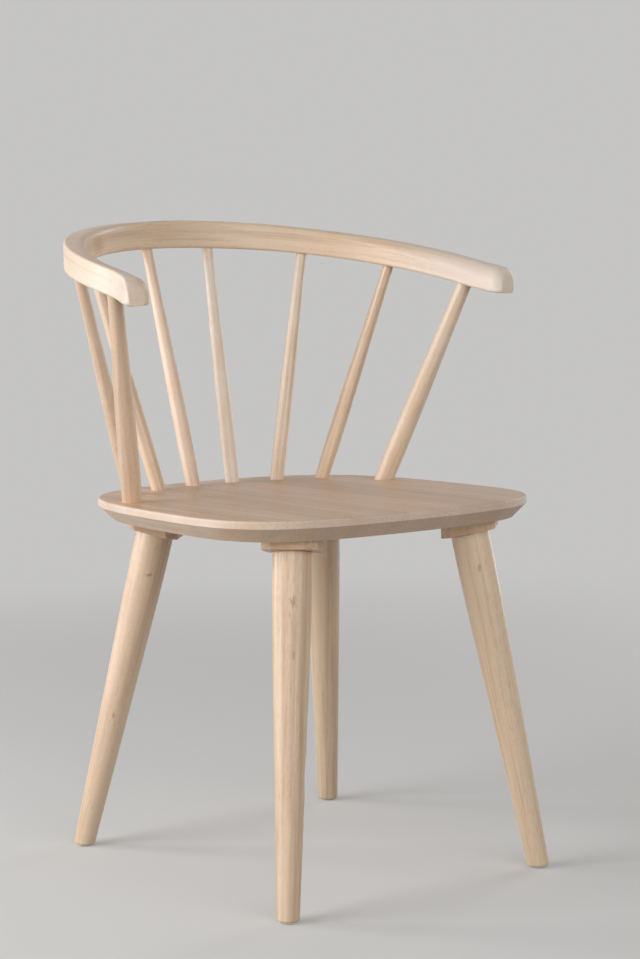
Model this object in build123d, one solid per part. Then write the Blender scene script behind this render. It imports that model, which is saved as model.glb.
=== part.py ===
from build123d import *
import os
from math import cos, hypot, radians, sin

# A low-backed wooden dining armchair. The front is -Y, up is +Z, and the origin is on the floor
# below the middle of the outline. Left and right are as seen from the front. Sizes are in millimetres.

# Seat: a rounded shield, drawn from its front middle, widest points and back middle.
seat_height = 440.0
seat_thickness = 25.0
seat_bevel = 16.0            # slanting underside of the rim, at 45 degrees; the rest of the rim is upright
seat_edge_round = 2.5
seat_front_y = -262.0
seat_back_y = 212.0
seat_half_width = 220.5
seat_widest_y = -107.0
seat_front_pull = 150.0      # curve handles, which set how full each quarter of the outline is
seat_front_side_pull = 134.0
seat_back_side_pull = 227.0
seat_back_pull = 202.0

# Arm bow: one bent rail lying in a plane that rises towards the back, lower and softer at the arms.
bow_pivot_y = -22.0          # a point of the bow's underside on the centre line
bow_pivot_z = 688.0
bow_rise = 11.0              # degrees
bow_width = 27.5
bow_end_width = 31.0
bow_back_height = 35.0       # at the back middle, falling evenly round the bend
bow_arm_height = 30.5
bow_back_round = 4.5         # inner top edge at the back middle, growing round the bend
bow_arm_round = 19.0
bow_small_round = 3.0        # the other three edges
bow_back = 275.2             # centre line, measured in the bow's own plane from the pivot
bow_back_pull = 140.0
bow_overhang = 32.7          # the arms' centre line stands this much outside the seat
bow_side_pull = 170.0
bow_side_y = -8.0
bow_end_flare = 4.8          # the arm ends stand this much further out
bow_end_y = -80.0
bow_steps = 4                # spans between the sections that shape the bend, and those that shape each tip
bow_tip_length = 19.0        # length over which each arm end draws in to its soft tip
bow_tip_rake = 14.0          # degrees, by which the tip leans back
bow_tip_inner = 9.0          # draw at the inner side, the outer side, the top and the underside
bow_tip_outer = 3.5
bow_tip_top = 12.0
bow_tip_under = 2.0
bow_tip_round = 6.0          # the three small edges there

# Uprights: each stands a share along the seat's rear edge from the back middle and set in from that
# edge, and ends a length round the bow from the back middle.
post_share = 0.632
post_inset = 25.9
post_along = 425.5
spindle_shares = (0.069, 0.222, 0.402)
spindle_insets = (40.7, 45.2, 38.0)
spindle_along = (46.0, 173.0, 294.5)
upright_aim = 5.0            # axes cross the bow's centre line this far above its underside
post_diameters = (23.8, 24.4, 17.6)       # at the seat, at the belly, at the bow
spindle_diameters = (17.4, 18.6, 13.2)
belly_share = 0.18           # height of the belly as a share of the length
upper_share = 0.62           # height at which half of the taper is done
upright_seat_depth = 14.0    # tenon below the seat's top, along the axis
upright_bow_depth = 13.0     # tenon above the bow's underside, along the axis

# Legs, and the wedge pads between them and the seat.
leg_front_inset = (96.5, 77.0)            # axis at the seat's underside, from the seat's side and front
leg_front_splay = (56.0, 56.0)            # from there to the axis at the floor, outwards and forwards
leg_rear_inset = (100.0, 107.5)           # from the seat's side and back
leg_rear_splay = (66.5, 92.5)             # outwards and backwards
leg_top_diameter = 45.0
leg_foot_diameter = 25.6
leg_straight = 30.0          # length of the parallel top
leg_blend = 60.0             # length over which the taper sets in
leg_top_round = 1.2
leg_foot_round = 2.5
pad_side = 63.0
pad_clip = 12.0
pad_outer = 10.5             # pad thickness along the leg's axis, at its thin outer side
pad_edge_round = 0.8

# Fixings and floor glides.
bolt_diameter = 8.0
bolt_leg_depth = 42.0
bolt_seat_depth = 14.0
bolt_end_bevel = 1.0
insert_diameter = 12.0
insert_length = 12.0
insert_sink = 2.5            # mouth of the insert above the seat's underside
screw_diameter = 4.0
screw_head_diameter = 8.0
screw_head_depth = 2.6
screw_length = 27.0
screw_reach = 28.5           # from the leg's axis towards two of the pad's clipped corners
glide_diameter = 20.0
glide_height = 2.0
glide_round = 0.8
nail_diameter = 2.4
nail_length = 16.0           # tip above the floor
nail_head_diameter = 6.0
nail_head_depth = 0.8
nail_head_sink = 0.6

# Play in the joints.
glue_gap = 0.15              # radial, round every tenon and fixing
end_gap = 0.5                # at the blind end of every socket

seat_under = seat_height - seat_thickness
bow_half_width = seat_half_width + bow_overhang
sides = (("left", -1), ("right", 1))
leg_sites = {
    "front": (seat_front_y, -1, leg_front_inset, leg_front_splay),
    "rear": (seat_back_y, 1, leg_rear_inset, leg_rear_splay),
}
bow_plane = Plane(
    origin=(0, bow_pivot_y, bow_pivot_z),
    x_dir=(1, 0, 0),
    z_dir=(0, -sin(radians(bow_rise)), cos(radians(bow_rise))),
)


def rod(radius, low, high):
    """Cylinder on the Z axis between two heights."""
    stand = (Align.CENTER, Align.CENTER, Align.MIN)
    return Pos(0, 0, low) * Cylinder(radius, high - low, align=stand)


def turned(edges):
    """Solid turned about Z from edges drawn in radius and height."""
    return revolve(make_face(edges).rotate(Axis.X, 90), Axis.Z)


def seat_quarters():
    """Right half of the seat's outline: from the back middle to the side, and on to the front middle."""
    back = (0, seat_back_y)
    side = (seat_half_width, seat_widest_y)
    front = (0, seat_front_y)
    rear_quarter = Bezier(
        back,
        (seat_back_pull, seat_back_y),
        (seat_half_width, seat_widest_y + seat_back_side_pull),
        side,
    )
    front_quarter = Bezier(
        side,
        (seat_half_width, seat_widest_y - seat_front_side_pull),
        (seat_front_pull, seat_front_y),
        front,
    )
    return rear_quarter, front_quarter


def seat_plan():
    """Whole outline of the seat as a face."""
    half = Curve() + list(seat_quarters())
    return make_face(half + mirror(half, Plane.YZ))


def seat_panel():
    """Seat with its bevelled underside, eased rim and every socket."""
    panel = extrude(Pos(0, 0, seat_under) * seat_plan(), seat_thickness)
    panel = chamfer(panel.faces().sort_by(Axis.Z)[0].edges(), seat_bevel)
    panel = fillet(panel.faces().sort_by(Axis.Z)[-1].edges(), seat_edge_round)
    for _, axis, _, diameters in upright_sites():
        panel -= axis * seat_socket(diameters)
    for name in leg_sites:
        for _, side in sides:
            axis, _, drop = leg_axis(name, side)
            blind = drop + insert_sink + insert_length + end_gap
            panel -= axis * rod(insert_diameter / 2 + glue_gap, drop / 2, blind)
            for place in screw_places(name, side):
                panel -= place * pad_screw(glue_gap, end_gap)
    return panel


def bow_path():
    """Centre line of the bow's right half in its own plane: the bend, then the arm up to its soft tip."""
    side = (bow_half_width, bow_side_y)
    end = bow_end_y + bow_tip_length
    bend = Bezier(
        (0, bow_back),
        (bow_back_pull, bow_back),
        (bow_half_width, bow_side_y + bow_side_pull),
        side,
    )
    arm = Bezier(side, (bow_half_width, (bow_side_y + end) / 2), (bow_half_width + bow_end_flare, end))
    return bend, arm


def bow_point(along, height):
    """Point of the bow's centre line, a length from the back middle and a height over its underside."""
    bend, arm = bow_path()
    if along < bend.length:
        flat = bend @ (along / bend.length)
    else:
        flat = arm @ ((along - bend.length) / arm.length)
    return bow_plane.from_local_coords(Vector(flat.X, flat.Y, height))


def bow_section(edge, share, width, height, soft, draw=0, rake=0):
    """Section across the bow at a share of an edge, with a soft inner top edge.

    It stands upright across the bow, turned about its inner lower edge. A draw from 0 to 1 takes in its
    sides for a tip, and a rake in degrees tips it backwards.
    """
    heading = edge % share
    place = Plane(origin=edge @ share, x_dir=(-heading.Y, heading.X, 0), z_dir=heading)
    inner, outer = draw * bow_tip_inner - width / 2, width / 2 - draw * bow_tip_outer
    under, top = draw * bow_tip_under, height - draw * bow_tip_top
    ease = bow_small_round + draw * (bow_tip_round - bow_small_round)
    outline = FilletPolyline(
        (inner, under),
        (outer, under),
        (outer, top),
        (inner, top),
        radius=(ease, ease, ease, soft - draw * bow_tip_top),
        close=True,
    )
    lean = bow_rise * place.x_dir.Y
    upright_face = make_face(outline).rotate(Axis((-width / 2, 0, 0), (0, 0, 1)), -lean)
    return place.rotated((-rake, 0, 0)) * upright_face


def bow_bend():
    """Right half of the bow up to its tip: lower and softer round the bend, then wider along the arm."""
    bend, arm = bow_path()
    sections = []
    for step in range(bow_steps + 1):
        share = step / bow_steps
        height = bow_back_height + share * (bow_arm_height - bow_back_height)
        soft = bow_back_round + share**2 * (bow_arm_round - bow_back_round)
        sections.append(bow_section(bend, share, bow_width, height, soft))
    sections.append(bow_section(arm, 1, bow_end_width, bow_arm_height, bow_arm_round))
    return sweep(sections=sections, path=Wire([bend, arm]), multisection=True)


def bow_tip():
    """Soft end of the right arm: sections that draw in and lean back along a quarter of an ellipse."""
    _, arm = bow_path()
    sections = []
    for step in range(bow_steps + 1):
        turn = radians(90 * step / bow_steps)
        draw, rake = 1 - cos(turn), bow_tip_rake * sin(turn)
        section = bow_section(arm, 1, bow_end_width, bow_arm_height, bow_arm_round, draw, rake)
        sections.append(Pos((arm % 1) * bow_tip_length * sin(turn)) * section)
    return loft(sections)


def arm_bow():
    """Bent rail with its two soft tips and its sockets."""
    half = bow_bend() + bow_tip()
    bow = bow_plane * (half + mirror(half, Plane.YZ))
    for _, axis, length, diameters in upright_sites():
        bow -= axis * bow_socket(length, diameters)
    return bow


def upright_axis(share, inset, along, side):
    """Plane at an upright's foot with its normal along the axis, and the length up to the bow."""
    edge, _ = seat_quarters()
    heading = edge % share
    foot = edge @ share + Vector(heading.Y, -heading.X) * inset
    start = Vector(side * foot.X, foot.Y, seat_height)
    goal = bow_point(along, upright_aim)
    run = Vector(side * goal.X, goal.Y, goal.Z) - start
    lean = run.normalized().dot(bow_plane.z_dir)
    return Plane(origin=start, z_dir=run), run.length - upright_aim / lean


def upright_sites():
    """Name, axis, length and diameters of all eight uprights."""
    sites = []
    for word, side in sides:
        axis, length = upright_axis(post_share, post_inset, post_along, side)
        sites.append((f"front_post_{word}", axis, length, post_diameters))
        places = zip(spindle_shares, spindle_insets, spindle_along)
        for number, (share, inset, along) in enumerate(places, start=1):
            axis, length = upright_axis(share, inset, along, side)
            sites.append((f"back_spindle_{word}_{number}", axis, length, spindle_diameters))
    return sites


def upright(length, diameters):
    """Turned upright: parallel ends that are its tenons, and a long belly between them."""
    low, belly, high = (d / 2 for d in diameters)
    bottom = -upright_seat_depth
    top = length + upright_bow_depth
    start = (low, low / 2)
    finish = (high, length - high)
    waist = ((belly + high) / 2, upper_share * length)
    swell = Spline(start, (belly, belly_share * length), waist, finish)
    rest = Polyline(start, (low, bottom), (0, bottom), (0, top), (high, top), finish)
    return turned(swell + rest)


def seat_socket(diameters):
    """Blind hole in the seat for an upright."""
    radius = diameters[0] / 2 + glue_gap
    return rod(radius, -upright_seat_depth - end_gap, 3 * radius)


def bow_socket(length, diameters):
    """Blind hole in the bow for an upright."""
    radius = diameters[2] / 2 + glue_gap
    return rod(radius, length - 3 * radius, length + upright_bow_depth + end_gap)


def leg_ends(name, side):
    """Points where a leg's axis meets the seat's underside and the floor."""
    edge, way, inset, splay = leg_sites[name]
    root = Vector(side * (seat_half_width - inset[0]), edge - way * inset[1], seat_under)
    return root, Vector(root.X + side * splay[0], root.Y + way * splay[1], 0)


def leg_axis(name, side):
    """Plane at a leg's top with its normal up the leg, and the lengths to the floor and to the seat."""
    root, foot = leg_ends(name, side)
    run = root - foot
    spread = hypot(run.X, run.Y) / run.Z
    drop = pad_outer + spread * pad_side / 2
    rise = run.normalized()
    return Plane(origin=root - rise * drop, z_dir=rise), run.length - drop, drop


def leg(name, side):
    """Turned, tapered leg: its top square to the axis, its foot level with the floor."""
    axis, length, _ = leg_axis(name, side)
    top, foot = leg_top_diameter / 2, leg_foot_diameter / 2
    shoulder = -leg_straight
    knee = shoulder - leg_blend / 2
    slope = (top - foot) / (knee + length)
    end = -length - foot
    finish = (foot - slope * foot, end)
    bend = (top - slope * leg_blend / 2, shoulder - leg_blend)
    flank = Bezier((top, shoulder), (top, knee), bend, finish)
    rest = Polyline((top, shoulder), (top, 0), (0, 0), (0, end), finish)
    body = axis * turned(flank + rest)
    body -= Pos(0, 0, glide_height) * Box(900, 900, 100, align=(Align.CENTER, Align.CENTER, Align.MAX))
    body = fillet(body.faces().sort_by(Axis.Z)[0].edges(), leg_foot_round)
    body = chamfer(body.faces().sort_by(Axis.Z)[-1].edges(), leg_top_round)
    body -= axis * rod(bolt_diameter / 2 + glue_gap, -bolt_leg_depth - end_gap, 0)
    return body - floor_place(name, side) * rod(nail_diameter / 2 + glue_gap, 0, nail_length + end_gap)


def pad(name, side):
    """Wedge pad with clipped corners: flat on the seat, square to the leg below."""
    axis, _, drop = leg_axis(name, side)
    _, way, _, _ = leg_sites[name]
    middle = (axis.origin.X, axis.origin.Y, seat_under)
    place = Plane(origin=middle, x_dir=(side, way, 0), z_dir=(0, 0, 1))
    plan = chamfer(Rectangle(pad_side, pad_side).vertices(), pad_clip)
    block = place * extrude(plan, -3 * drop)
    block -= axis * Box(300, 300, 300, align=(Align.CENTER, Align.CENTER, Align.MAX))
    block = chamfer(block.faces().sort_by(Axis.Z)[0].edges(), pad_edge_round)
    block -= axis * rod(bolt_diameter / 2 + glue_gap, -drop, 2 * drop)
    for spot in screw_places(name, side):
        block -= spot * pad_screw(glue_gap, end_gap)
    return block


def screw_places(name, side):
    """Planes at a pad's two screws, on its lower face with the normal up the screw."""
    axis, _, _ = leg_axis(name, side)
    places = []
    for corner in (-1, 1):
        ray = Vector(corner, 0, 0)
        flat = ray - axis.z_dir * ray.dot(axis.z_dir)
        places.append(Plane(origin=axis.origin + flat.normalized() * screw_reach, z_dir=axis.z_dir))
    return places


def pad_screw(play, tip):
    """Countersunk screw standing on its head, or with play and a longer tip the hole for it."""
    stand = (Align.CENTER, Align.CENTER, Align.MIN)
    wide, core = screw_head_diameter / 2 + play, screw_diameter / 2 + play
    return Cone(wide, core, screw_head_depth, align=stand) + rod(core, 0, screw_length + tip)


def hanger_bolt(drop):
    """Headless bolt, from the leg through its pad into the seat."""
    bolt = rod(bolt_diameter / 2, -bolt_leg_depth, drop + bolt_seat_depth)
    return chamfer(bolt.edges(), bolt_end_bevel)


def threaded_insert(drop):
    """Bush let into the seat, which the bolt's upper end turns into."""
    low = drop + insert_sink
    high = low + insert_length
    return rod(insert_diameter / 2, low, high) - rod(bolt_diameter / 2 + glue_gap, low, high)


def floor_place(name, side):
    """Level plane on the floor below the middle of a foot."""
    _, foot = leg_ends(name, side)
    return Plane(origin=foot)


def glide():
    """Floor disc, eased below, with a stepped hole for its nail."""
    disc = rod(glide_diameter / 2, 0, glide_height)
    disc = fillet(disc.edges().sort_by(Axis.Z)[0], glide_round)
    disc -= rod(nail_diameter / 2 + glue_gap, 0, glide_height)
    return disc - rod(nail_head_diameter / 2 + glue_gap, 0, nail_head_sink + nail_head_depth)


def glide_nail():
    """Flat-headed nail that holds a glide."""
    head = rod(nail_head_diameter / 2, nail_head_sink, nail_head_sink + nail_head_depth)
    return head + rod(nail_diameter / 2, nail_head_sink, nail_length)


def nodes():
    """Every node of the chair by name; fixings of one kind share a node."""
    made = {"seat_panel": seat_panel(), "arm_bow": arm_bow()}
    for name, axis, length, diameters in upright_sites():
        made[name] = axis * upright(length, diameters)
    bolts, inserts, screws, nails = [], [], [], []
    for name in leg_sites:
        for word, side in sides:
            axis, _, drop = leg_axis(name, side)
            floor = floor_place(name, side)
            made[f"leg_{name}_{word}"] = leg(name, side)
            made[f"leg_pad_{name}_{word}"] = pad(name, side)
            made[f"glide_{name}_{word}"] = floor * glide()
            bolts.append(axis * hanger_bolt(drop))
            inserts.append(axis * threaded_insert(drop))
            screws += [place * pad_screw(0, 0) for place in screw_places(name, side)]
            nails.append(floor * glide_nail())
    made["hanger_bolts"] = Compound(children=bolts)
    made["threaded_inserts"] = Compound(children=inserts)
    made["pad_screws"] = Compound(children=screws)
    made["glide_nails"] = Compound(children=nails)
    return made


os.makedirs("parts", exist_ok=True)
for node, shape in nodes().items():
    export_step(shape, f"parts/{node}.step")
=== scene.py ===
"""Looks of a pale wooden dining armchair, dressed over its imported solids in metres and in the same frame."""

import logging
import math
from dataclasses import dataclass
from enum import Enum
from typing import ClassVar

import bpy
import numpy as np
from mathutils import Matrix, Vector


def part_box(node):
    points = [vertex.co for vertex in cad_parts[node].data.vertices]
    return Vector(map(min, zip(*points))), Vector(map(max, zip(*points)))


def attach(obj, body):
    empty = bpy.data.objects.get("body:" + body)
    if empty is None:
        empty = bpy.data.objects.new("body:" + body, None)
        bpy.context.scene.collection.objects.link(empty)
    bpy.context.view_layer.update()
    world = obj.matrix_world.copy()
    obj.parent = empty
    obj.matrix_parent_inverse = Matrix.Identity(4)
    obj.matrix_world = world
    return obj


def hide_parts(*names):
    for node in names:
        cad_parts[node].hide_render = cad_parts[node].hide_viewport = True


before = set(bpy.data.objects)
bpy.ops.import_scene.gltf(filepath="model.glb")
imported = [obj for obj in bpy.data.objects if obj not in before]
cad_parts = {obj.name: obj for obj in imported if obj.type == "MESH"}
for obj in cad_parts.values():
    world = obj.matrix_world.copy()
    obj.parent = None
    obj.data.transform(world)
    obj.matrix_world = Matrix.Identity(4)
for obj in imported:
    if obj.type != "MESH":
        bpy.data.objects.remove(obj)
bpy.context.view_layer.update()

LOG = logging.getLogger("armchair")
MEAN = 0.5                      # of a noise, which goes from 0 to 1
Colour = tuple[float, float, float, float]
Triple = tuple[float, float, float]
Span = tuple[float, float]      # a low and a high level


class Flow:
    """A shader socket in a Python expression: each operation on it adds one Math node."""

    def __init__(self, graph: "Graph", socket: bpy.types.NodeSocket) -> None:
        """Keeps the socket and the graph that it belongs to."""
        self.graph = graph
        self.socket = socket

    def __add__(self, other: "Flow | float") -> "Flow":
        """self + other."""
        return self.graph.math("ADD", self, other)

    def __radd__(self, other: float) -> "Flow":
        """other + self."""
        return self.graph.math("ADD", other, self)

    def __sub__(self, other: "Flow | float") -> "Flow":
        """self - other."""
        return self.graph.math("SUBTRACT", self, other)

    def __rsub__(self, other: float) -> "Flow":
        """other - self."""
        return self.graph.math("SUBTRACT", other, self)

    def __mul__(self, other: "Flow | float") -> "Flow":
        """self * other."""
        return self.graph.math("MULTIPLY", self, other)

    def __rmul__(self, other: float) -> "Flow":
        """other * self."""
        return self.graph.math("MULTIPLY", other, self)

    def __truediv__(self, other: "Flow | float") -> "Flow":
        """self / other."""
        return self.graph.math("DIVIDE", self, other)

    def __abs__(self) -> "Flow":
        """Size of self without its sign."""
        return self.graph.math("ABSOLUTE", self)


class Graph:
    """Node tree of one finish, of the floor or of the world."""

    def __init__(self, tree: bpy.types.NodeTree) -> None:
        """Takes a tree and empties it."""
        self.tree = tree
        tree.nodes.clear()

    def node(self, kind: str, settings: dict | None = None, inputs: dict | None = None,
             out: int | str = 0) -> Flow:
        """Adds a node.

        Args:
            kind: the node's type.
            settings: its properties, which are set first.
            inputs: values or links by the name or number of each socket.
            out: name or number of the output that is returned.

        Returns:
            That output.
        """
        node = self.tree.nodes.new(kind)
        for name, value in (settings or {}).items():
            setattr(node, name, value)
        for key, value in (inputs or {}).items():
            socket = node.inputs[key]
            if isinstance(value, Flow):
                self.tree.links.new(value.socket, socket)
            else:
                socket.default_value = value
        return Flow(self, node.outputs[out])

    def math(self, operation: str, *values: "Flow | float") -> Flow:
        """Math node on values or links, in order."""
        return self.node("ShaderNodeMath", {"operation": operation}, dict(enumerate(values)))

    def vector(self, operation: str, *values: "Flow | Triple", out: int = 0) -> Flow:
        """Vector Math node on values or links, in order."""
        return self.node("ShaderNodeVectorMath", {"operation": operation}, dict(enumerate(values)), out)

    def length(self, vector: Flow) -> Flow:
        """Length of a vector."""
        return self.vector("LENGTH", vector, out=1)

    def step(self, value: Flow, low: float, high: float) -> Flow:
        """Smooth step: 0 below low, 1 above high, and an S between them."""
        settings = {"interpolation_type": "SMOOTHSTEP"}
        return self.node("ShaderNodeMapRange", settings, {"Value": value, "From Min": low, "From Max": high})

    def mix(self, share: "Flow | float", first: "Flow | Colour", second: "Flow | Colour") -> Flow:
        """Colour that goes from the first to the second as the share goes from 0 to 1."""
        return self.node("ShaderNodeMix", {"data_type": "RGBA"}, {0: share, 6: first, 7: second}, 2)

    def here(self, out: str = "Object") -> Flow:
        """Object coordinates of the point that is shaded, or its normal."""
        return self.node("ShaderNodeTexCoord", out=out)

    def place(self, turn: Matrix, origin: Vector) -> Flow:
        """Object coordinates in a piece's own axes: turn * (point - origin).

        Args:
            turn: the piece's axes as rows.
            origin: the point that becomes zero.

        Returns:
            The turned coordinates.
        """
        shift = -(turn @ origin)
        inputs = {"Vector": self.here(), "Location": tuple(shift), "Rotation": tuple(turn.to_euler("XYZ"))}
        return self.node("ShaderNodeMapping", {"vector_type": "POINT"}, inputs)

    def split(self, vector: Flow) -> tuple[Flow, Flow, Flow]:
        """The three parts of a vector."""
        parts = self.node("ShaderNodeSeparateXYZ", inputs={0: vector}).socket.node
        return tuple(Flow(self, socket) for socket in parts.outputs)

    def join(self, x: Flow, y: Flow, z: Flow) -> Flow:
        """A vector from its three parts."""
        return self.node("ShaderNodeCombineXYZ", inputs={0: x, 1: y, 2: z})

    def blend(self, share: Flow, first: Flow, second: Flow) -> Flow:
        """Shader that goes from the first to the second as the share goes from 0 to 1."""
        return self.node("ShaderNodeMixShader", inputs={0: share, 1: first, 2: second})

    def end(self, kind: str, surface: Flow) -> None:
        """Leads a shader into an output node of the given type."""
        output = self.tree.nodes.new(kind)
        self.tree.links.new(surface.socket, output.inputs["Surface"])


def new_finish(name: str) -> tuple[bpy.types.Material, Graph]:
    """Starts a material.

    Args:
        name: the material's name.

    Returns:
        The material and its empty graph.
    """
    made = bpy.data.materials.new(name)
    made.use_nodes = True
    return made, Graph(made.node_tree)


class Tone(Enum):
    """Colours of the timber and of the fixings, as linear values."""

    CREAM = (0.87, 0.66, 0.46, 1.0)
    TAN = (0.60, 0.39, 0.235, 1.0)
    ROSE = (0.81, 0.54, 0.405, 1.0)
    PORE = (0.36, 0.21, 0.12, 1.0)
    KNOT = (0.42, 0.23, 0.11, 1.0)
    # white wash of the lacquer; also the colour of painted highlights and of painted light on a shaded arm tip
    WASH = (0.90, 0.83, 0.75, 1.0)
    END = (0.54, 0.35, 0.22, 1.0)
    ZINC = (0.60, 0.61, 0.63, 1.0)
    ZINC_DULL = (0.44, 0.44, 0.42, 1.0)
    BRASS = (0.72, 0.55, 0.26, 1.0)
    BRASS_DULL = (0.45, 0.31, 0.14, 1.0)
    SHELL = (0.72, 0.70, 0.66, 1.0)
    SCUFF = (0.40, 0.38, 0.35, 1.0)


class Corner(Enum):
    """The four legs, each with the signs of x and y on its side of the middle planes."""

    FRONT_LEFT = (-1, -1)
    FRONT_RIGHT = (1, -1)
    REAR_LEFT = (-1, 1)
    REAR_RIGHT = (1, 1)

    @property
    def label(self) -> str:
        """The corner as it stands in the names of nodes."""
        return self.name.lower()


@dataclass(frozen=True)
class Pattern:
    """Smooth noise from 0 to 1, plain or sharpened between two levels."""

    waves: Triple               # to the metre, along each axis of the point
    detail: float = 1.0         # octaves
    low: float = 0.0
    high: float = 1.0

    def plain(self, g: Graph, point: Flow, out: int = 0) -> Flow:
        """The noise at a point; output 1 is three noises in one vector."""
        inputs = {"Vector": g.vector("MULTIPLY", point, self.waves), "Scale": 1.0, "Detail": self.detail}
        return g.node("ShaderNodeTexNoise", {}, inputs, out)

    def sharp(self, g: Graph, point: Flow) -> Flow:
        """The noise at a point, through a smooth step between the levels."""
        return g.step(self.plain(g, point), self.low, self.high)


@dataclass(frozen=True)
class Spot:
    """A knot, a stained patch, a painted highlight or a painted shade: a soft ellipsoid in the chair's frame.
    """

    middle: Triple
    radii: Triple
    strength: float
    tone: Tone = Tone.KNOT
    ragged: float = 1.0         # how far the figure eats into its rim


@dataclass
class Fibres:
    """Fibres at the point that is shaded."""

    point: Flow                 # metres, with Z along the fibres
    end: Flow                   # 1 where the surface cuts them square
    board: Flow | float = MEAN  # 0 to 1, different in each board
    seam: Flow | float = 0.0    # 1 on a glue line
    pale: Flow | float = 0.0    # 1 where a painted highlight lies


class Grain:
    """The way that the fibres of a piece run."""

    def fibres(self, g: Graph) -> Fibres:
        """Adds the nodes that find the fibres; each kind of grain has its own."""
        raise NotImplementedError

    def cut(self, g: Graph, axis: Vector, low: float = 0.62, high: float = 0.95) -> Flow:
        """Rises from 0 to 1 as the surface turns square to the axis, between two cosines."""
        facing = g.vector("DOT_PRODUCT", g.here("Normal"), tuple(axis), out=1)
        return g.step(abs(facing), low, high)


@dataclass
class LongGrain(Grain):
    """Straight fibres along a unit axis, with a point on the piece's middle line."""

    axis: Vector
    middle: Vector

    def fibres(self, g: Graph) -> Fibres:
        """Turns the coordinates so that Z is the axis: the rows are two normals and the axis.

        Args:
            g: graph of the finish.

        Returns:
            The fibres, cut square at the piece's ends.
        """
        across = self.axis.orthogonal().normalized()
        turn = Matrix((across, self.axis.cross(across), self.axis))
        return Fibres(g.place(turn, self.middle), self.cut(g, self.axis))


@dataclass
class StaveGrain(Grain):
    """Boards glued side by side, with the fibres from front to back."""

    width: float = 0.0745
    offset: float = 0.021
    glue: float = 0.0005
    chance: tuple[float, float] = (7.31, 3.7)  # factor and start of each board's draw
    apart: Triple = (0.37, 0.09, 1.7)  # metres of log between two boards
    rim_cut: Span = (0.50, 0.95)  # cosines from the rim to the top
    end_cut: Span = (0.15, 0.55)  # cosines from the long sides to the ends
    end_seam: float = 0.75  # share of the glue line that the ends lose

    def fibres(self, g: Graph) -> Fibres:
        """Board number floor((x + offset) / width); each board has its own piece of the log.

        Args:
            g: graph of the finish.

        Returns:
            The fibres, with a draw and a glue line for each board, and a painted highlight on the rim and
            bevel.
        """
        x, y, z = g.split(g.here())
        count = (x + self.offset) / self.width
        number = g.math("FLOOR", count)
        inside = (count - number - 0.5) * self.width
        factor, start = self.chance
        draw = g.node("ShaderNodeTexWhiteNoise", {"noise_dimensions": "1D"}, {"W": number * factor + start})
        across, up, along = self.apart
        point = g.join(inside + number * across, z + draw * up, y + draw * along)
        seam = g.step(abs(inside), self.width / 2 - 2 * self.glue, self.width / 2 - self.glue / 2)
        # painted highlight: the rim and the bevel below it are marked to be made paler than the top
        rim = 1.0 - self.cut(g, Vector((0, 0, 1)), *self.rim_cut)
        end = self.cut(g, Vector((0, 1, 0)), *self.end_cut)
        return Fibres(point, end, draw, seam * (1.0 - end * self.end_seam), rim)


@dataclass
class BendGrain(Grain):
    """Fibres that follow the bow: round an ellipse at the back, straight in the arms."""

    rise: float = math.radians(11)
    pivot: Triple = (0.0, -0.022, 0.688)
    half_width: float = 0.2532
    bend_start: float = -0.008
    back: float = 0.2752
    along_radius: float = 0.27  # turns the angle into metres
    across_radius: float = 0.265  # turns the ellipse's radius into metres
    outer: Span = (1.03, 1.07)  # radii between which the outer face begins
    tip: Span = (0.03, 0.05)  # lengths of arm between which the tip begins

    def fibres(self, g: Graph) -> Fibres:
        """Across is the ellipse's radius less 1, along is its angle and then the arm, both in metres.

        Args:
            g: graph of the finish.

        Returns:
            The fibres, cut square at the arms' tips, with a painted highlight on the outer face.
        """
        turn = Matrix.Rotation(-self.rise, 3, "X")
        x, y, z = g.split(g.place(turn, Vector(self.pivot)))
        beyond = y - self.bend_start
        deep = g.math("MAXIMUM", beyond, 0.0) / (self.back - self.bend_start)
        wide = abs(x) / self.half_width
        square = deep * deep + wide * wide
        radius = g.math("SQRT", square)
        angle = g.math("ARCTAN2", deep, wide)
        arm = g.math("MAXIMUM", self.bend_start - y, 0.0)
        along = ((math.pi / 2 - angle) * self.along_radius + arm) * g.math("SIGN", x)
        point = g.join((radius - 1.0) * self.across_radius, z, along)
        heading = Vector((0, math.cos(self.rise), math.sin(self.rise)))
        end = self.cut(g, heading) * g.step(arm, *self.tip)
        # painted highlight: the bow's outer face is marked to be made paler
        return Fibres(point, end, pale=g.step(radius, *self.outer))


@dataclass(frozen=True)
class Weights:
    """How much each layer of the wood's figure counts in its tone, its roughness or its relief."""

    broad: float = 0.0
    fine: float = 0.0
    hair: float = 0.0
    late: float = 0.0
    pores: float = 0.0
    seam: float = 0.0
    end: float = 0.0


@dataclass
class Figure:
    """Layers of the wood's figure at the point that is shaded, each from 0 to 1."""

    broad: Flow
    fine: Flow
    hair: Flow
    late: Flow
    pores: Flow
    vessels: Flow


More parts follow.
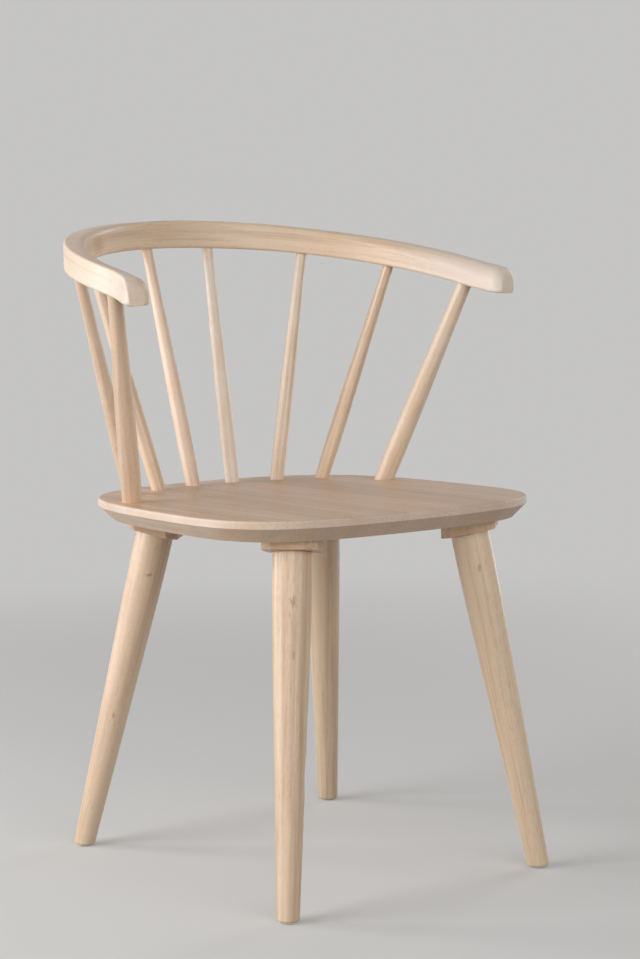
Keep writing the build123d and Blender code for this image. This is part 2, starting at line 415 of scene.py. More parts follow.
@dataclass(frozen=True)
class PaleWood:
    """Pale hardwood under a thin white-pigmented satin lacquer."""

    name: str
    seed: float
    tan: float = 0.40           # share of the darker tone
    rose: float = 0.35          # share of the reddish tone
    wash: float = 0.06          # share of the white pigment
    painted_highlight: float = 0.35         # share of the painted highlight where pale is 1
    ring: float = 0.0062        # distance between growth rings
    pith: tuple[float, float] = (0.055, 0.03)
    figure: float = 1.0         # strength of the streaks
    vessels: float = 0.10       # strength of the short vessel marks
    mottle: float = 0.08        # strength of the flecks on end grain
    contrast: float = 0.34      # difference between boards
    rough: float = 0.44
    coat: float = 0.55          # share of the clear top coat
    spots: tuple[Spot, ...] = ()

    SWAY: ClassVar[Pattern] = Pattern((5.0, 5.0, 1.4))
    BROAD: ClassVar[Pattern] = Pattern((60.0, 60.0, 1.2), 3.0, 0.25, 0.75)
    FINE: ClassVar[Pattern] = Pattern((170.0, 170.0, 4.5), 2.0, 0.26, 0.74)
    HAIR: ClassVar[Pattern] = Pattern((820.0, 820.0, 11.0))
    GATHER: ClassVar[Pattern] = Pattern((45.0, 45.0, 5.0), 1.0, 0.36, 0.62)
    PORES: ClassVar[Pattern] = Pattern((760.0, 760.0, 75.0), 1.0, 0.56, 0.68)
    VESSELS: ClassVar[Pattern] = Pattern((900.0, 900.0, 230.0), 1.0, 0.48, 0.70)
    FLUSH: ClassVar[Pattern] = Pattern((11.0, 11.0, 0.9), 1.0, 0.36, 0.68)
    CLOUD: ClassVar[Pattern] = Pattern((24.0, 24.0, 24.0), 3.0, 0.30, 0.72)
    FLECKS: ClassVar[Pattern] = Pattern((330.0, 330.0, 420.0), 2.0, 0.46, 0.66)
    RAGGED: ClassVar[Pattern] = Pattern((420.0, 420.0, 110.0), 2.0)

    TONE: ClassVar[Weights] = Weights(broad=0.8, fine=0.62, hair=0.6, late=0.15, end=0.7)
    ROUGH: ClassVar[Weights] = Weights(fine=0.12, pores=0.15, end=0.18)
    RELIEF: ClassVar[Weights] = Weights(fine=0.3, hair=0.4, pores=0.8, seam=1.2, end=0.6)

    SEED_SHIFT: ClassVar[Triple] = (0.61, 0.37, 1.93)  # metres of log between two seeds
    STREAK_SWAY: ClassVar[Triple] = (0.012, 0.012, 0.0)  # metres that the streaks wander
    RING_SWAY: ClassVar[Triple] = (0.02, 0.02, 0.0)  # metres that the rings wander
    RING_RISE: ClassVar[Span] = (0.2, 0.9)  # share of a ring in which late wood builds up
    RING_FALL: ClassVar[Span] = (0.92, 1.0)  # and in which it stops
    PORE_SHARE: ClassVar[float] = 0.22
    THIN_CLOUD: ClassVar[float] = 0.6  # unevenness of the wash where it is thin
    PAINTED_HIGHLIGHT_CLOUD: ClassVar[float] = 0.3  # and of the painted highlight
    END_SHARE: ClassVar[float] = 0.04  # of the end tone between the flecks
    SEAM_SHARE: ClassVar[float] = 0.32
    RAG: ClassVar[float] = 1.8  # swing of a spot's ragged rim
    SPOT_CORE: ClassVar[float] = 0.2  # share of a spot's radius at full strength

    def material(self, grain: Grain) -> bpy.types.Material:
        """Builds the finish.

        Args:
            grain: the way that the piece's fibres run.

        Returns:
            The material.
        """
        made, g = new_finish(self.name)
        fibres = grain.fibres(g)
        log = g.vector("ADD", fibres.point, tuple(self.seed * part for part in self.SEED_SHIFT))
        sway = self.SWAY.plain(g, log, out=1)
        point = g.vector("MULTIPLY_ADD", sway, self.STREAK_SWAY, log)
        layers = Figure(
            broad=self.BROAD.sharp(g, point),
            fine=self.FINE.sharp(g, point),
            hair=self.HAIR.plain(g, point),
            late=self.late_wood(g, fibres.point, sway),
            pores=self.PORES.sharp(g, point) * self.GATHER.sharp(g, point),
            vessels=self.VESSELS.sharp(g, point),
        )
        colour = self.lacquered(g, self.bare(g, fibres, layers, point), fibres, point)
        rough = (self.rough + (layers.fine - MEAN) * self.ROUGH.fine + layers.pores * self.ROUGH.pores
                 + fibres.end * self.ROUGH.end)
        relief = ((layers.fine * self.RELIEF.fine + layers.hair * self.RELIEF.hair)
                  * (1.0 - fibres.end * self.RELIEF.end)
                  - layers.pores * self.RELIEF.pores - fibres.seam * self.RELIEF.seam)
        normal = g.node("ShaderNodeBump", {}, {"Strength": 0.22, "Distance": 0.0005, "Height": relief})
        surface = g.node("ShaderNodeBsdfPrincipled", {}, {
            "Base Color": colour, "Roughness": rough, "Normal": normal, "Specular IOR Level": 0.42,
            "Coat Weight": self.coat, "Coat Roughness": 0.28,
        })
        g.end("ShaderNodeOutputMaterial", surface)
        return made

    def late_wood(self, g: Graph, point: Flow, sway: Flow) -> Flow:
        """Growth rings: a saw-tooth of the distance from the pith, rising slowly and falling fast.

        Args:
            g: graph of the finish.
            point: metres, with Z along the fibres.
            sway: the slow noise that bends the rings.

        Returns:
            0 in the early wood to 1 in the late wood.
        """
        spread = g.vector("MULTIPLY_ADD", sway, self.RING_SWAY, point)
        flat = g.vector("MULTIPLY_ADD", spread, (1.0, 1.0, 0.0), (*self.pith, 0.0))
        turns = g.length(flat) / self.ring
        tooth = g.math("FRACT", turns)
        return g.step(tooth, *self.RING_RISE) - g.step(tooth, *self.RING_FALL)

    def bare(self, g: Graph, fibres: Fibres, layers: Figure, point: Flow) -> Flow:
        """Colour of the wood: cream to tan by the weighed streaks and the board, then a flush and pores.

        Args:
            g: graph of the finish.
            fibres: the fibres at the point.
            layers: the figure there.
            point: the swaying point in the log.

        Returns:
            The colour without its lacquer.
        """
        streaks = ((layers.broad - MEAN) * self.TONE.broad + (layers.fine - MEAN) * self.TONE.fine
                   + (layers.hair - MEAN) * self.TONE.hair + layers.late * self.TONE.late)
        tone = (self.tan + streaks * (1.0 - fibres.end * self.TONE.end) * self.figure
                + (fibres.board - MEAN) * self.contrast)
        colour = g.mix(tone, Tone.CREAM.value, Tone.TAN.value)
        colour = g.mix(self.FLUSH.sharp(g, point) * self.rose, colour, Tone.ROSE.value)
        colour = g.mix(layers.pores * self.PORE_SHARE, colour, Tone.PORE.value)
        return g.mix(layers.vessels * (self.vessels * (1.0 - fibres.end)), colour, Tone.PORE.value)

    def lacquered(self, g: Graph, colour: Flow, fibres: Fibres, point: Flow) -> Flow:
        """Lays the cloudy white wash and the painted highlight over the wood, then spots, flecks on end grain
        and glue lines.

        Args:
            g: graph of the finish.
            colour: the bare wood.
            fibres: the fibres at the point.
            point: the swaying point in the log.

        Returns:
            The finished colour.
        """
        place = g.here()
        cloud = self.CLOUD.sharp(g, place)
        thin = (cloud * self.THIN_CLOUD + (1.0 - self.THIN_CLOUD)) * self.wash
        # painted highlight: the pale faces (the seat's rim and bevel, the bow's outer face) go towards the
        # paler tone
        painted_highlight = (cloud * self.PAINTED_HIGHLIGHT_CLOUD + (1.0 - self.PAINTED_HIGHLIGHT_CLOUD)) * (fibres.pale * self.painted_highlight)
        colour = self.spotted(g, g.mix(thin + painted_highlight, colour, Tone.WASH.value), point)
        flecks = self.FLECKS.sharp(g, place) * self.mottle
        colour = g.mix(fibres.end * (flecks + self.END_SHARE), colour, Tone.END.value)
        return g.mix(fibres.seam * self.SEAM_SHARE, colour, Tone.END.value)

    def spotted(self, g: Graph, colour: Flow, point: Flow) -> Flow:
        """Lays each spot over the colour: its share falls from the middle to the ragged rim.

        Args:
            g: graph of the finish.
            colour: what lies below.
            point: the swaying point in the log, whose fibres fray the rim.

        Returns:
            The colour with all spots.
        """
        place = g.here()
        ragged = (self.RAGGED.plain(g, point) - MEAN) * self.RAG
        for spot in self.spots:
            away = g.vector("SUBTRACT", place, spot.middle)
            reach = g.length(g.vector("DIVIDE", away, spot.radii))
            share = (1.0 - g.step(reach + ragged * spot.ragged, self.SPOT_CORE, 1.0)) * spot.strength
            colour = g.mix(share, colour, spot.tone.value)
        return colour


@dataclass(frozen=True)
class Metal:
    """Bare or plated metal: cloudy dull patches, fine turning marks and uneven gloss."""

    name: str
    bright: Tone
    dull: Tone
    rough: float = 0.30
    dullness: float = 0.8       # of the dull patches
    cloud_gloss: float = 0.35   # swing of the roughness with the patches
    mark_gloss: float = 0.12    # and with the marks

    CLOUD: ClassVar[Pattern] = Pattern((160.0, 160.0, 160.0), 3.0, 0.38, 0.72)
    MARKS: ClassVar[Pattern] = Pattern((900.0, 900.0, 3200.0))

    def material(self) -> bpy.types.Material:
        """Builds the finish on Object coordinates.

        Returns:
            The material.
        """
        made, g = new_finish(self.name)
        place = g.here()
        cloud = self.CLOUD.plain(g, place)
        marks = self.MARKS.plain(g, place)
        patches = g.step(cloud, self.CLOUD.low, self.CLOUD.high)
        colour = g.mix(patches * self.dullness, self.bright.value, self.dull.value)
        rough = self.rough + (cloud - MEAN) * self.cloud_gloss + (marks - MEAN) * self.mark_gloss
        normal = g.node("ShaderNodeBump", {}, {"Strength": 0.15, "Distance": 0.0001, "Height": marks})
        surface = g.node("ShaderNodeBsdfPrincipled", {}, {
            "Base Color": colour, "Roughness": rough, "Normal": normal, "Metallic": 1.0,
        })
        g.end("ShaderNodeOutputMaterial", surface)
        return made


@dataclass(frozen=True)
class MouldedPlastic:
    """Matt moulded plastic with a fine spark-eroded skin, scuffed where it slides."""

    name: str
    rough: float = 0.55
    sole: Span = (0.0003, 0.0012)  # heights above the floor between which the scuffs end
    scuff_share: float = 0.7
    mottle_share: float = 0.25
    skin_gloss: float = 0.15  # swing of the roughness with the skin
    scuff_gloss: float = 0.2  # and with the scuffs
    skin_relief: float = 0.6  # of the depth of a scuff

    SCRATCH: ClassVar[Pattern] = Pattern((350.0, 2400.0, 350.0), 2.0, 0.52, 0.66)
    SKIN: ClassVar[Pattern] = Pattern((2600.0, 2600.0, 2600.0))
    MOTTLE: ClassVar[Pattern] = Pattern((220.0, 220.0, 220.0), 2.0)

    def material(self) -> bpy.types.Material:
        """Builds the finish on Object coordinates.

        Returns:
            The material.
        """
        made, g = new_finish(self.name)
        place = g.here()
        height = g.split(place)[2]
        scuff = self.SCRATCH.sharp(g, place) * (1.0 - g.step(height, *self.sole))
        skin = self.SKIN.plain(g, place)
        mottle = (self.MOTTLE.plain(g, place) - MEAN) * self.mottle_share
        colour = g.mix(scuff * self.scuff_share + mottle, Tone.SHELL.value, Tone.SCUFF.value)
        rough = self.rough + (skin - MEAN) * self.skin_gloss + scuff * self.scuff_gloss
        relief = skin * self.skin_relief - scuff
        normal = g.node("ShaderNodeBump", {}, {"Strength": 0.25, "Distance": 0.0001, "Height": relief})
        surface = g.node("ShaderNodeBsdfPrincipled", {}, {
            "Base Color": colour, "Roughness": rough, "Normal": normal, "Specular IOR Level": 0.4,
        })
        g.end("ShaderNodeOutputMaterial", surface)
        return made


def vertices(node: str) -> np.ndarray:
    """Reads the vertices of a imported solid.

    Args:
        node: the solid's node.

    Returns:
        Rows of x, y, z.
    """
    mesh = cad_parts[node].data
    flat = np.empty(len(mesh.vertices) * 3, np.float32)
    mesh.vertices.foreach_get("co", flat)
    return flat.reshape(-1, 3).astype(float)


def long_grain(node: str) -> LongGrain:
    """Finds the longest direction of a solid: the first singular vector of its vertices.

    Args:
        node: the solid's node.

    Returns:
        Grain along that direction.
    """
    points = vertices(node)
    middle = points.mean(axis=0)
    _, _, rows = np.linalg.svd(points - middle, full_matrices=False)
    return LongGrain(Vector(rows[0]).normalized(), Vector(middle))


def dress(node: str, material: bpy.types.Material) -> None:
    """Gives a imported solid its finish.

    Args:
        node: the solid's node.
        material: the finish.
    """
    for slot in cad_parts[node].material_slots:
        slot.material = material
    LOG.info("dressed %s in %s", node, material.name)


@dataclass
class Skin:
    """A mesh worked out as arrays: points in rows, and faces as rows of point numbers."""

    points: np.ndarray
    quads: np.ndarray
    fans: np.ndarray

    @classmethod
    def rings(cls, grid: np.ndarray, poles: np.ndarray) -> "Skin":
        """Closed skin round an axis.

        Args:
            grid: points by ring and by spoke, the rings from the start to the end of the axis.
            poles: the two points that close the first and the last ring.

        Returns:
            Quads between neighbouring rings and spokes, and a fan of triangles at each pole.
        """
        count, spokes = grid.shape[:2]
        row, column = np.meshgrid(np.arange(count - 1), np.arange(spokes), indexing="ij")
        after = (column + 1) % spokes
        quads = np.stack((row * spokes + column, row * spokes + after,
                          (row + 1) * spokes + after, (row + 1) * spokes + column), axis=-1)
        spoke = np.arange(spokes)
        after, last = (spoke + 1) % spokes, (count - 1) * spokes
        first_pole, last_pole = np.full(spokes, count * spokes), np.full(spokes, count * spokes + 1)
        fans = np.vstack((np.stack((first_pole, after, spoke), axis=-1),
                          np.stack((last + spoke, last + after, last_pole), axis=-1)))
        return cls(np.vstack((grid.reshape(-1, 3), poles)), quads.reshape(-1, 4), fans)

    @classmethod
    def sleeve(cls, grid: np.ndarray) -> "Skin":
        """Closed skin of a ring-shaped body: the row of rings closes on itself, as the spokes do.

        Args:
            grid: points by ring and by spoke.

        Returns:
            Quads between neighbouring rings and spokes.
        """
        count, spokes = grid.shape[:2]
        row, column = np.meshgrid(np.arange(count), np.arange(spokes), indexing="ij")
        below, after = (row + 1) % count, (column + 1) % spokes
        quads = np.stack((row * spokes + column, row * spokes + after,
                          below * spokes + after, below * spokes + column), axis=-1)
        return cls(grid.reshape(-1, 3), quads.reshape(-1, 4), np.empty((0, 3), int))

    def moved(self, axis: "Axis") -> "Skin":
        """The skin carried from the Z axis to another: foot + x * across + y * up + z * along."""
        return Skin(self.points @ axis.rows() + axis.foot, self.quads, self.fans)

    def piece(self, name: str) -> bpy.types.Object:
        """Makes an object of this skin.

        Args:
            name: name of the object and of its mesh.

        Returns:
            The object, at the origin.
        """
        mesh = bpy.data.meshes.new(name)
        mesh.from_pydata(self.points.tolist(), [], self.quads.tolist() + self.fans.tolist())
        mesh.shade_smooth()
        made = bpy.data.objects.new(name, mesh)
        bpy.context.scene.collection.objects.link(made)
        return made


def joined(skins: list[Skin]) -> Skin:
    """Makes several skins one: each one's point numbers go up by the points before it.

    Args:
        skins: the skins in order.

    Returns:
        All their points and faces.
    """
    starts = np.cumsum([0] + [len(skin.points) for skin in skins])
    return Skin(
        np.vstack([skin.points for skin in skins]),
        np.vstack([skin.quads + start for skin, start in zip(skins, starts)]),
        np.vstack([skin.fans + start for skin, start in zip(skins, starts)]),
    )


@dataclass
class Axis:
    """A fixing's axis: its lower end, its direction upwards and its length."""

    foot: np.ndarray
    along: np.ndarray
    length: float

    def rows(self) -> np.ndarray:
        """Works out the axis's own directions, by cross products with Y and with itself.

        Returns:
            Unit directions across, up and along, as rows.
        """
        across = np.cross(self.along, (0.0, 1.0, 0.0))
        across /= np.linalg.norm(across)
        return np.stack((across, np.cross(self.along, across), self.along))

    @classmethod
    def of(cls, points: np.ndarray, along: np.ndarray | None = None) -> "Axis":
        """Axis of a turned solid.

        Args:
            points: the solid's points.
            along: its direction; without it, the first singular vector of the points.

        Returns:
            The line through the middle of the points' reach across the direction.
        """
        if along is None:
            along = np.linalg.svd(points - points.mean(axis=0), full_matrices=False)[2][0]
            along = along * np.sign(along[2])
        rows = cls(np.zeros(3), along, 0.0).rows()
        local = points @ rows.T
        low, high = local.min(axis=0), local.max(axis=0)
        foot = np.append((low[:2] + high[:2]) / 2, low[2])
        return cls(foot @ rows, along, float(high[2] - low[2]))


@dataclass
class Fixings:
    """Bolts, inserts and screws with their threads, in place of the plain solids."""

    spokes: int = 28
    steps_to_pitch: int = 8
    thread_top: float = 1.35  # of the thread's wave, cut flat at 1
    thread_fall: float = 1.7  # from that top to its lowest, cut flat at 0
    bolt_radius: float = 0.0040
    bolt_core: float = 0.0033
    bolt_pitch: float = 0.00125
    bolt_bevel: float = 0.0010
    lag_pitch: float = 0.0030
    lag_length: float = 0.036
    fine_length: float = 0.018  # of fine thread, below a bolt's top two core radii
    insert_radius: float = 0.0060
    insert_core: float = 0.0053
    insert_bore: float = 0.00415
    insert_pitch: float = 0.0030
    insert_steps: int = 14  # to its pitch
    insert_ease: float = 0.5  # share of a pitch over which the thread runs out
    screw_head: float = 0.0040
    screw_head_depth: float = 0.0026
    screw_radius: float = 0.0020
    screw_core: float = 0.0014
    screw_pitch: float = 0.0016
    screw_tip: float = 0.0060
    tip_share: float = 0.02  # of the radius, left at the point
    face_rings: int = 18
    face_hub: float = 0.06  # share of the head's radius at the first ring
    cone_rings: int = 5
    recess_radius: float = 0.0023
    recess_half_width: float = 0.00042
    recess_depth: float = 0.0017
    recess_fall: float = 0.55  # share of its radius over which it runs out

    def build(self) -> None:
        """Makes the threaded pieces and dresses them, and the nails."""
        zinc = Metal("zinc_plating", Tone.ZINC, Tone.ZINC_DULL).material()
        brass = Metal("turned_brass", Tone.BRASS, Tone.BRASS_DULL, rough=0.34).material()
        dress("glide_nails", zinc)
        bolts = [Axis.of(self.near("hanger_bolts", leg)) for leg in Corner]
        legs = list(zip(Corner, bolts))
        inserts = [Axis.of(self.near("threaded_inserts", leg), bolt.along) for leg, bolt in legs]
        screws = [one for leg, bolt in legs for one in self.pair(leg, bolt.along)]
        self.put("hanger_bolts", [self.bolt(one.length).moved(one) for one in bolts], zinc)
        bushes = [self.insert(one.length).moved(one) for one in inserts]
        self.put("threaded_inserts", bushes, brass)
        self.put("pad_screws", [self.screw(one.length).moved(one) for one in screws], zinc)

    def put(self, node: str, skins: list[Skin], finish: bpy.types.Material) -> None:
        """Puts several fixings of one kind in the place of their node.

        Args:
            node: the node that they replace.
            skins: one skin for each fixing.
            finish: their material.
        """
        piece = joined(skins).piece(f"cut_{node}")
        piece.data.materials.append(finish)
        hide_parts(node)
        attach(piece, "root")
        LOG.info("made %s for %s", piece.name, node)

    def near(self, node: str, leg: Corner) -> np.ndarray:
        """Points of a node's solids on the same side of both middle planes as a leg."""
        points = vertices(node)
        return points[np.all(points[:, :2] * leg.value > 0, axis=1)]

    def pair(self, leg: Corner, along: np.ndarray) -> tuple[Axis, Axis]:
        """Finds the two screws beside a leg's bolt, parallel to it.

        Args:
            leg: the leg's corner.
            along: the bolt's direction.

        Returns:
            Axis of the left and of the right screw.
        """
        points = self.near("pad_screws", leg)
        right = points[:, 0] > (points[:, 0].min() + points[:, 0].max()) / 2
        return Axis.of(points[~right], along), Axis.of(points[right], along)

    def ridge(self, height: np.ndarray, pitch: float) -> np.ndarray:
        """Thread as a triangle wave of height / pitch - angle / 360, with its crest and root cut flat.

        Args:
            height: heights of the rings.
            pitch: height of one turn.

        Returns:
            0 at the root to 1 at the crest, by ring and spoke.
        """
        angle = np.linspace(0.0, 1.0, self.spokes, endpoint=False)
        turn = (height[:, None] / pitch - angle[None, :]) % 1.0
        return np.clip(self.thread_top - np.abs(2.0 * turn - 1.0) * self.thread_fall, 0.0, 1.0)

    def angles(self) -> np.ndarray:
        """Angles of the spokes."""
        return np.linspace(0.0, 2 * np.pi, self.spokes, endpoint=False)

    def round(self, radius: np.ndarray, height: np.ndarray) -> np.ndarray:
        """Turns radii and heights into points (r cos a, r sin a, z).

        Args:
            radius: by ring and spoke.
            height: by ring, or by ring and spoke.

        Returns:
            Points by ring and spoke.
        """
        angle = self.angles()
        radius, height = np.broadcast_arrays(radius, height)
        return np.stack((radius * np.cos(angle), radius * np.sin(angle), height), axis=-1)

    def bolt(self, length: float) -> Skin:
        """Coarse wood thread below, plain shank between, fine thread above, with both ends bevelled.

        Args:
            length: the bolt's length.

        Returns:
            Its skin along Z.
        """
        height = np.arange(0.0, length, self.bolt_pitch / self.steps_to_pitch)
        height = np.append(height, length)
        lag = height < self.lag_length
        fine = height > length - 2 * self.bolt_core - self.fine_length
        coarse_ridge, fine_ridge = self.ridge(height, self.lag_pitch), self.ridge(height, self.bolt_pitch)
        ridge = np.where(lag[:, None], coarse_ridge, fine_ridge)
        ridge = np.where((lag | fine)[:, None], ridge, 1.0)
        edge = np.minimum(height, length - height)
        bevel = np.clip(self.bolt_bevel - edge, 0.0, None)
        radius = self.bolt_core + (self.bolt_radius - self.bolt_core) * ridge
        radius = np.minimum(radius, (self.bolt_radius - bevel)[:, None])
        poles = np.array(((0.0, 0.0, 0.0), (0.0, 0.0, length)))
        return Skin.rings(self.round(radius, height[:, None]), poles)

    def insert(self, length: float) -> Skin:
        """Bush: up the outside with its coarse thread, and down the plain bore.

        Args:
            length: the bush's length.

        Returns:
            Its skin along Z.
        """
        height = np.linspace(0.0, length, int(length / self.insert_pitch * self.insert_steps) + 1)
        edge = np.minimum(height, length - height)
        ease = np.clip(edge / (self.insert_ease * self.insert_pitch), 0.0, 1.0)[:, None]
        thread = self.ridge(height, self.insert_pitch) * ease
        outside = self.insert_core + (self.insert_radius - self.insert_core) * thread
        bore = np.full((len(height), self.spokes), self.insert_bore)
        radius = np.vstack((outside, bore))
        height = np.concatenate((height, height[::-1]))
        return Skin.sleeve(self.round(radius, height[:, None]))

    def screw(self, length: float) -> Skin:
        """Flat head with a cross recess, countersunk cone, threaded shank and a pointed tip.

        Args:
            length: the screw's length.

        Returns:
            Its skin along Z, with the head at zero.
        """
        face = self.screw_head * np.linspace(self.face_hub, 1.0, self.face_rings)
        slope = np.linspace(0.0, 1.0, self.cone_rings + 1)[1:]
        cone = self.screw_head + (self.screw_radius - self.screw_head) * slope
        start = self.screw_head_depth
        shank = np.arange(start, length, self.screw_pitch / self.steps_to_pitch)[1:]
        point = np.clip((length - shank) / self.screw_tip, self.tip_share, 1.0)[:, None]
        thread = self.screw_core + (self.screw_radius - self.screw_core) * self.ridge(shank, self.screw_pitch)
        even = np.ones(self.spokes)
        radius = np.vstack((face[:, None] * even, cone[:, None] * even, thread * point))
        height = np.vstack((self.recess(face), start * slope[:, None] * even, shank[:, None] * even))
        poles = np.array(((0.0, 0.0, self.recess_depth), (0.0, 0.0, length)))
        return Skin.rings(self.round(radius, height), poles)

    def recess(self, radius: np.ndarray) -> np.ndarray:
        """Depth of the cross: full in two slots, 0 at twice their half width, and less towards their ends.

        Args:
            radius: radii of the head's rings.

        Returns:
            Depth by ring and spoke.
        """
        angle = self.angles()
        aside = radius[:, None] * np.minimum(np.abs(np.cos(angle)), np.abs(np.sin(angle)))
        inside = np.clip(2.0 - aside / self.recess_half_width, 0.0, 1.0)
        reach = np.clip((self.recess_radius - radius) / (self.recess_fall * self.recess_radius), 0.0, 1.0)
        return self.recess_depth * inside * reach[:, None]


@dataclass
class Seat:
    """The seat panel and the wedge pads under it."""

    node: str = "seat_panel"
    finish: PaleWood = PaleWood("seat_wood", 1.0, tan=0.78, rose=0.55, wash=0.10, painted_highlight=0.42, figure=0.55,
                                mottle=0.22, contrast=0.42, rough=0.40, coat=0.08)
    pad_seed: float = 11.0
    pad_tan: float = 0.58
    pad_rose: float = 0.3
    pad_coat: float = 0.15

    def build(self) -> None:
        """Dresses the panel in staves, and each pad with fibres across its leg's splay."""
        dress(self.node, self.finish.material(StaveGrain()))
        for number, leg in enumerate(Corner):
            node = f"leg_pad_{leg.label}"
            low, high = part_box(node)
            side, way = leg.value
            grain = LongGrain(Vector((-way, side, 0)).normalized(), (low + high) / 2)
            finish = PaleWood(f"{node}_wood", self.pad_seed + number, tan=self.pad_tan, rose=self.pad_rose,
                              coat=self.pad_coat)
            dress(node, finish.material(grain))


@dataclass
class Back:
    """The arm bow and the uprights that carry it: two posts, then three spindles a side."""

    bow: str = "arm_bow"
    finish: PaleWood = PaleWood(
        "bow_wood", 21.0, tan=0.10, rose=0.55, wash=0.18, painted_highlight=0.16, figure=1.35, coat=0.45, spots=(
            Spot((-0.136, 0.189, 0.743), (0.05, 0.05, 0.012), 0.35, Tone.ROSE, 0.4),
            # painted highlight along the right arm's inner face
            Spot((0.2380, -0.0500, 0.7000), (0.06, 0.19, 0.06), 0.55, Tone.WASH, 0.3),
            # painted light on the right arm's tip, which the key leaves in shade
            Spot((0.2600, -0.1000, 0.6870), (0.04, 0.03, 0.04), 0.40, Tone.WASH, 0.5),
            # painted highlight on the left arm's outer face
            Spot((-0.2700, -0.0400, 0.6900), (0.03, 0.17, 0.06), 0.28, Tone.WASH, 0.2),
            # painted shade on the inner round of the left bend
            Spot((-0.1516, 0.1790, 0.7440), (0.03, 0.03, 0.016), 0.80, Tone.TAN, 0.3),
        ))
    upright_seed: float = 31.0
    upright_vessels: float = 0.16
    # partly painted light: back_spindle_right_1's pale tone and heavy wash stand in for key light that its
    # neighbours block
    tans: tuple[float, ...] = (0.38, 0.02, 0.14, 0.20, 0.24, -0.25, -0.04, 0.40)
    roses: tuple[float, ...] = (0.25, 0.40, 0.50, 0.50, 0.45, 0.15, 0.60, 0.65)
    washes_and_painted_light: tuple[float, ...] = (0.10, 0.30, 0.32, 0.22, 0.18, 0.72, 0.42, 0.18)

    def build(self) -> None:
        """Dresses the bow along its bend and each upright along its length."""
        dress(self.bow, self.finish.material(BendGrain()))
        uprights = [f"front_post_{side}" for side in ("left", "right")]
        uprights += [f"back_spindle_{side}_{n}" for side in ("left", "right") for n in (1, 2, 3)]
        for number, (node, tan, rose, wash) in enumerate(zip(uprights, self.tans, self.roses, self.washes_and_painted_light)):
            finish = PaleWood(f"{node}_wood", self.upright_seed + number, tan=tan, rose=rose, wash=wash,
                              vessels=self.upright_vessels)
            dress(node, finish.material(long_grain(node)))


@dataclass
class Legs:
    """The four legs and their glides, in the order of the corners."""

    seed: float = 51.0
    # the front-right leg's paler tone (-0.20) is painted light, standing in for front light that the lamps
    # don't give it
    tans: tuple[float, ...] = (0.30, -0.20, 0.00, -0.06)
    spots: tuple[tuple[Spot, ...], ...] = (
        (
            Spot((-0.1480, -0.2170, 0.3180), (0.0055, 0.0055, 0.085), 0.45, Tone.TAN),
            Spot((-0.1449, -0.2130, 0.3471), (0.0055, 0.0055, 0.0085), 0.75),
            Spot((-0.1502, -0.2203, 0.2898), (0.0030, 0.0030, 0.0080), 0.6),
        ),
        (
            Spot((0.1198, -0.2114, 0.3602), (0.0035, 0.0035, 0.008), 0.55),
        ),
        (
            Spot((-0.1402, 0.0997, 0.3444), (0.0070, 0.0070, 0.0024), 0.65),
            Spot((-0.1699, 0.1451, 0.1696), (0.0030, 0.0030, 0.0060), 0.6),
        ),
        (),
    )

    def build(self) -> None:
        """Dresses each leg along its length, and its glide."""
        plastic = MouldedPlastic("glide_moulding").material()
        for number, (leg, tan, spots) in enumerate(zip(Corner, self.tans, self.spots)):
            dress(f"glide_{leg.label}", plastic)
            node = f"leg_{leg.label}"
            finish = PaleWood(f"{node}_wood", self.seed + number, tan=tan, spots=spots)
            dress(node, finish.material(long_grain(node)))


@dataclass(frozen=True)
class SoftBox:
    """An area lamp that points at the chair."""

    name: str
    place: Triple
    size: tuple[float, float]
    power: float

    def build(self, target: Vector) -> None:
        """Hangs the lamp.

        Args:
            target: the point that its face looks at.
        """
        lamp = bpy.data.lights.new(self.name, "AREA")
        lamp.shape = "RECTANGLE"
        lamp.size, lamp.size_y = self.size
        lamp.energy = self.power
        holder = bpy.data.objects.new(self.name, lamp)
        holder.location = self.place
        holder.rotation_euler = (target - holder.location).to_track_quat("-Z", "Y").to_euler()
        bpy.context.scene.collection.objects.link(holder)


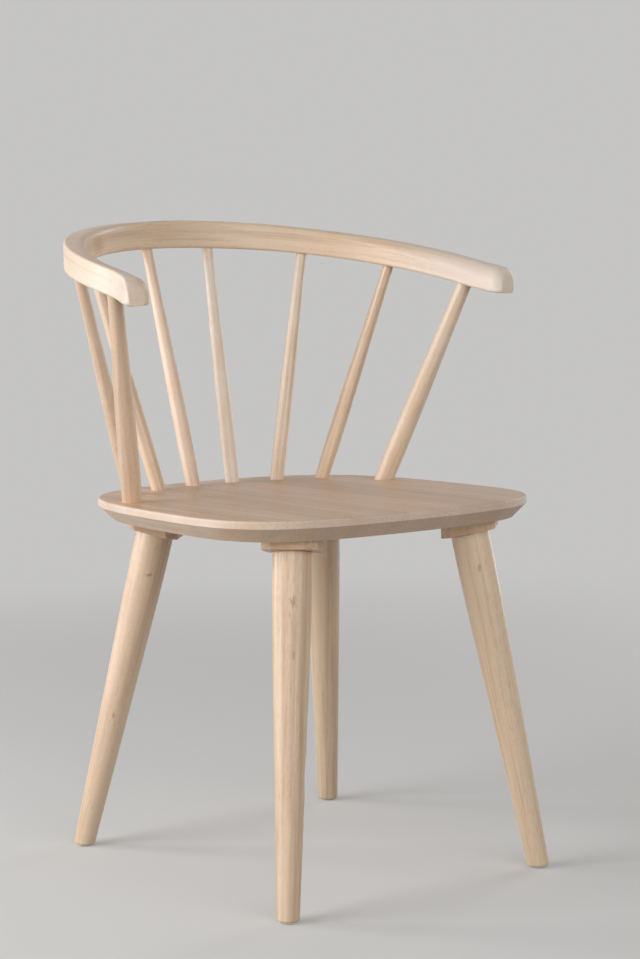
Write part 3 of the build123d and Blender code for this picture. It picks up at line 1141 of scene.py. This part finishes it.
@dataclass
class Studio:
    """Pale floor, soft light and the camera."""

    floor_radius: float = 16.0
    floor_rings: int = 24
    floor_spokes: int = 48
    floor_tone: Colour = (0.80, 0.795, 0.785, 1.0)
    bounce_tone: Colour = (0.24, 0.225, 0.21, 1.0)
    far_tone: Colour = (0.56, 0.556, 0.548, 1.0)
    fade: Span = (0.9, 2.6)     # metres from the chair between which the floor takes the far tone
    glow_share: float = 0.22    # of the floor's look that takes no shadow
    sky_tone: Colour = (1.0, 0.99, 0.97, 1.0)
    sky: float = 0.40           # at the horizon
    ceiling: float = 0.12       # straight above
    target: Triple = (0.0, 0.0, 0.42)
    lamps: tuple[SoftBox, ...] = (
        SoftBox("key", (-2.45, 0.50, 1.10), (1.7, 2.0), 48.0),
        SoftBox("edge", (-1.75, 2.0, 1.15), (0.8, 1.9), 21.0),
        SoftBox("fill", (-0.6, -3.3, 1.30), (3.2, 2.4), 45.0),
        SoftBox("rim", (2.4, 0.5, 1.05), (1.0, 1.9), 12.0),
    )
    camera_place: Triple = (-1.5547, -2.2624, 0.7257)
    yaw: float = math.radians(35.270)
    pitch: float = math.radians(-5.609)
    roll: float = math.radians(-1.192)
    lens: float = 85.993

    def build(self) -> None:
        """Sets up the floor, the lamps, the world and the camera."""
        self.floor()
        for lamp in self.lamps:
            lamp.build(Vector(self.target))
        self.world()
        self.camera()
        LOG.info("set up the studio with %d lamps", len(self.lamps))

    def floor(self) -> None:
        """Disc as a polar grid (r cos a, r sin a, 0), where r grows as the square of the ring's number."""
        rings, spokes = self.floor_rings, self.floor_spokes
        radius = self.floor_radius * np.linspace(0.0, 1.0, rings + 1)[1:] ** 2
        angle = np.linspace(0.0, 2 * np.pi, spokes, endpoint=False)
        r, a = np.meshgrid(radius, angle, indexing="ij")
        points = np.stack((r * np.cos(a), r * np.sin(a), np.zeros_like(r)), axis=-1).reshape(-1, 3)
        points = np.vstack((points, np.zeros((1, 3))))
        row, column = np.meshgrid(np.arange(rings - 1), np.arange(spokes), indexing="ij")
        after = (column + 1) % spokes
        quads = np.stack((row * spokes + column, (row + 1) * spokes + column,
                          (row + 1) * spokes + after, row * spokes + after), axis=-1).reshape(-1, 4)
        spoke = np.arange(spokes)
        hub = np.stack((spoke, (spoke + 1) % spokes, np.full(spokes, len(points) - 1)), axis=-1)
        disc = Skin(points, quads, hub).piece("studio_floor")
        disc.data.materials.append(self.floor_finish())

    def floor_finish(self) -> bpy.types.Material:
        """Matt floor that fades into the far tone with the distance from the chair.

        Returns:
            The material.
        """
        made, g = new_finish("floor_finish")
        far = g.step(g.length(g.here()), *self.fade)
        seen = self.seen(g)
        dim = g.node("ShaderNodeBsdfDiffuse", inputs={"Color": self.bounce_tone})
        pale = g.node("ShaderNodeBsdfDiffuse", inputs={"Color": self.floor_tone})
        glow = g.node("ShaderNodeEmission", inputs={"Color": self.far_tone})
        share = seen * (far * (1.0 - self.glow_share) + self.glow_share)
        g.end("ShaderNodeOutputMaterial", g.blend(share, g.blend(seen, dim, pale), glow))
        return made

    def seen(self, g: Graph) -> Flow:
        """Tells apart what shows from what only lights the chair.

        Args:
            g: graph of the floor or of the world.

        Returns:
            1 for what the eye, a reflection or a clear material sees, and else 0.
        """
        eye = g.node("ShaderNodeLightPath", out="Is Camera Ray")
        path = eye.socket.node
        mirror = g.math("MAXIMUM", eye, Flow(g, path.outputs["Is Glossy Ray"]))
        return g.math("MAXIMUM", mirror, Flow(g, path.outputs["Is Transmission Ray"]))

    def world(self) -> None:
        """Sky light that falls off towards the ceiling; the eye and reflections see the far tone."""
        world = bpy.data.worlds.new("studio")
        bpy.context.scene.world = world
        world.use_nodes = True
        g = Graph(world.node_tree)
        height = g.split(g.here("Generated"))[2]
        low = g.node("ShaderNodeBackground", inputs={"Color": self.sky_tone, "Strength": self.sky})
        high = g.node("ShaderNodeBackground", inputs={"Color": self.sky_tone, "Strength": self.ceiling})
        light = g.blend(g.math("MAXIMUM", height, 0.0), low, high)
        view = g.node("ShaderNodeBackground", inputs={"Color": self.far_tone})
        g.end("ShaderNodeOutputWorld", g.blend(self.seen(g), light, view))

    def camera(self) -> None:
        """Camera with its view along yaw and pitch, then rolled about that view."""
        level = math.cos(self.pitch)
        ahead = Vector((math.sin(self.yaw) * level, math.cos(self.yaw) * level, math.sin(self.pitch)))
        right = Vector((math.cos(self.yaw), -math.sin(self.yaw), 0.0))
        up = right.cross(ahead)
        turned_right = right * math.cos(self.roll) + up * math.sin(self.roll)
        turned_up = up * math.cos(self.roll) - right * math.sin(self.roll)
        data = bpy.data.cameras.new("viewpoint")
        data.lens = self.lens
        camera = bpy.data.objects.new("viewpoint", data)
        axes = Matrix((turned_right, turned_up, -ahead)).transposed().to_4x4()
        camera.matrix_world = Matrix.Translation(self.camera_place) @ axes
        bpy.context.scene.collection.objects.link(camera)
        bpy.context.scene.camera = camera


def main() -> None:
    """Builds the chair's looks and the studio."""
    logging.basicConfig(level=logging.INFO, format="%(message)s")
    for assembly in (Seat(), Back(), Legs(), Fixings()):
        assembly.build()
    Studio().build()
    bpy.context.scene.view_settings.view_transform = "Standard"


if __name__ == "__main__":
    main()
